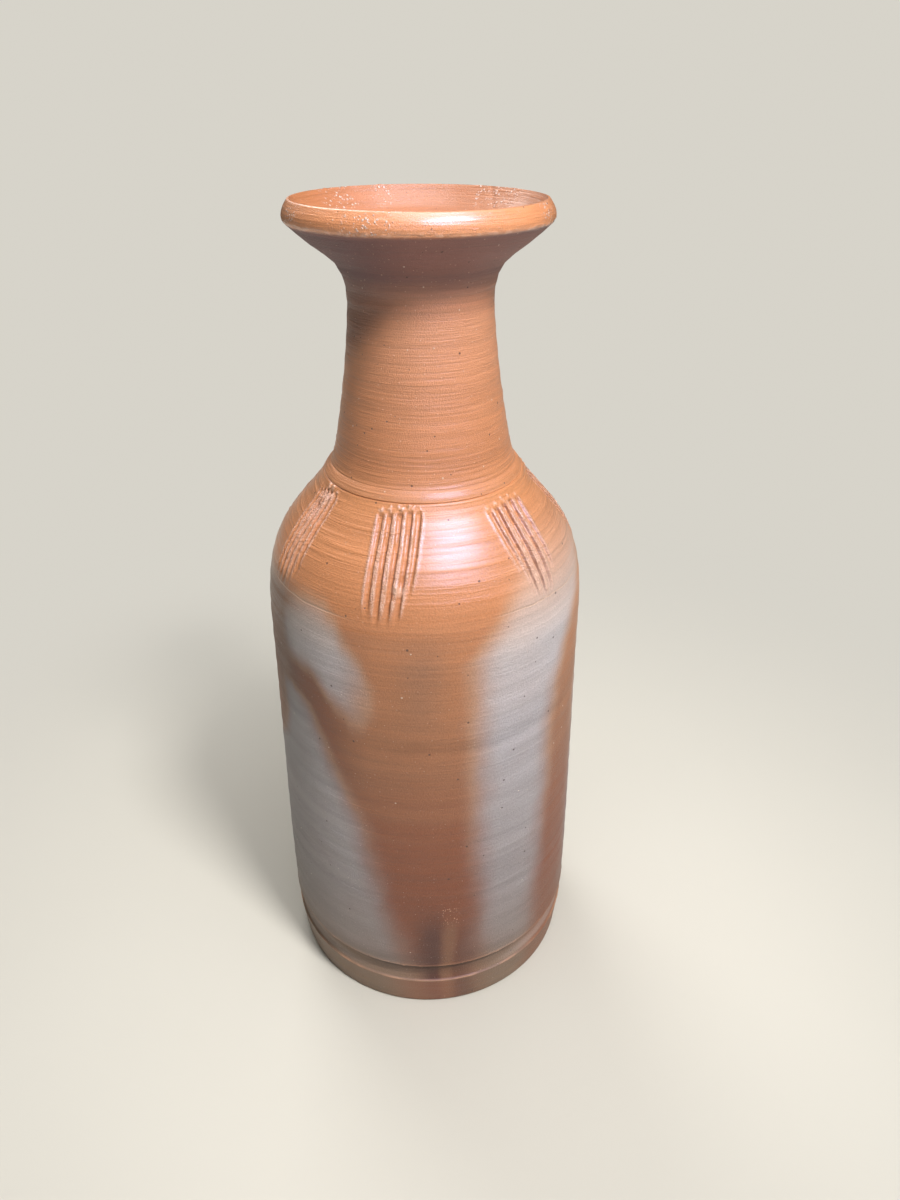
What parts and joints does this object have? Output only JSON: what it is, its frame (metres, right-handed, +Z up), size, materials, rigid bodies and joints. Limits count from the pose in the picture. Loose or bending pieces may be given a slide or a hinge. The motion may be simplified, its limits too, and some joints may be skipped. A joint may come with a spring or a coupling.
{
  "type": "sake bottle",
  "caption": "Unglazed wheel-thrown stoneware sake bottle with a straight body, combed shoulder, waisted neck, flared bevelled lip, straw fire marks and a grooved foot.",
  "frame": {"origin": "centre of the base, on the plane that the bottle stands on", "axes": "+Z up along the bottle's axis towards the mouth; -Y is the front of the bottle; +X to the right as the front is seen"},
  "size_m": [0.0924, 0.0924, 0.23],
  "materials": {
    "body_clay": "unglazed stoneware, grey and orange-brown straw fire marks, dull satin",
    "neck_clay": "unglazed stoneware fired terracotta orange, soft satin"
  },
  "bodies": {
    "root": {"bottle_body": "body_clay", "neck": "neck_clay"}
  },
  "joints": []
}
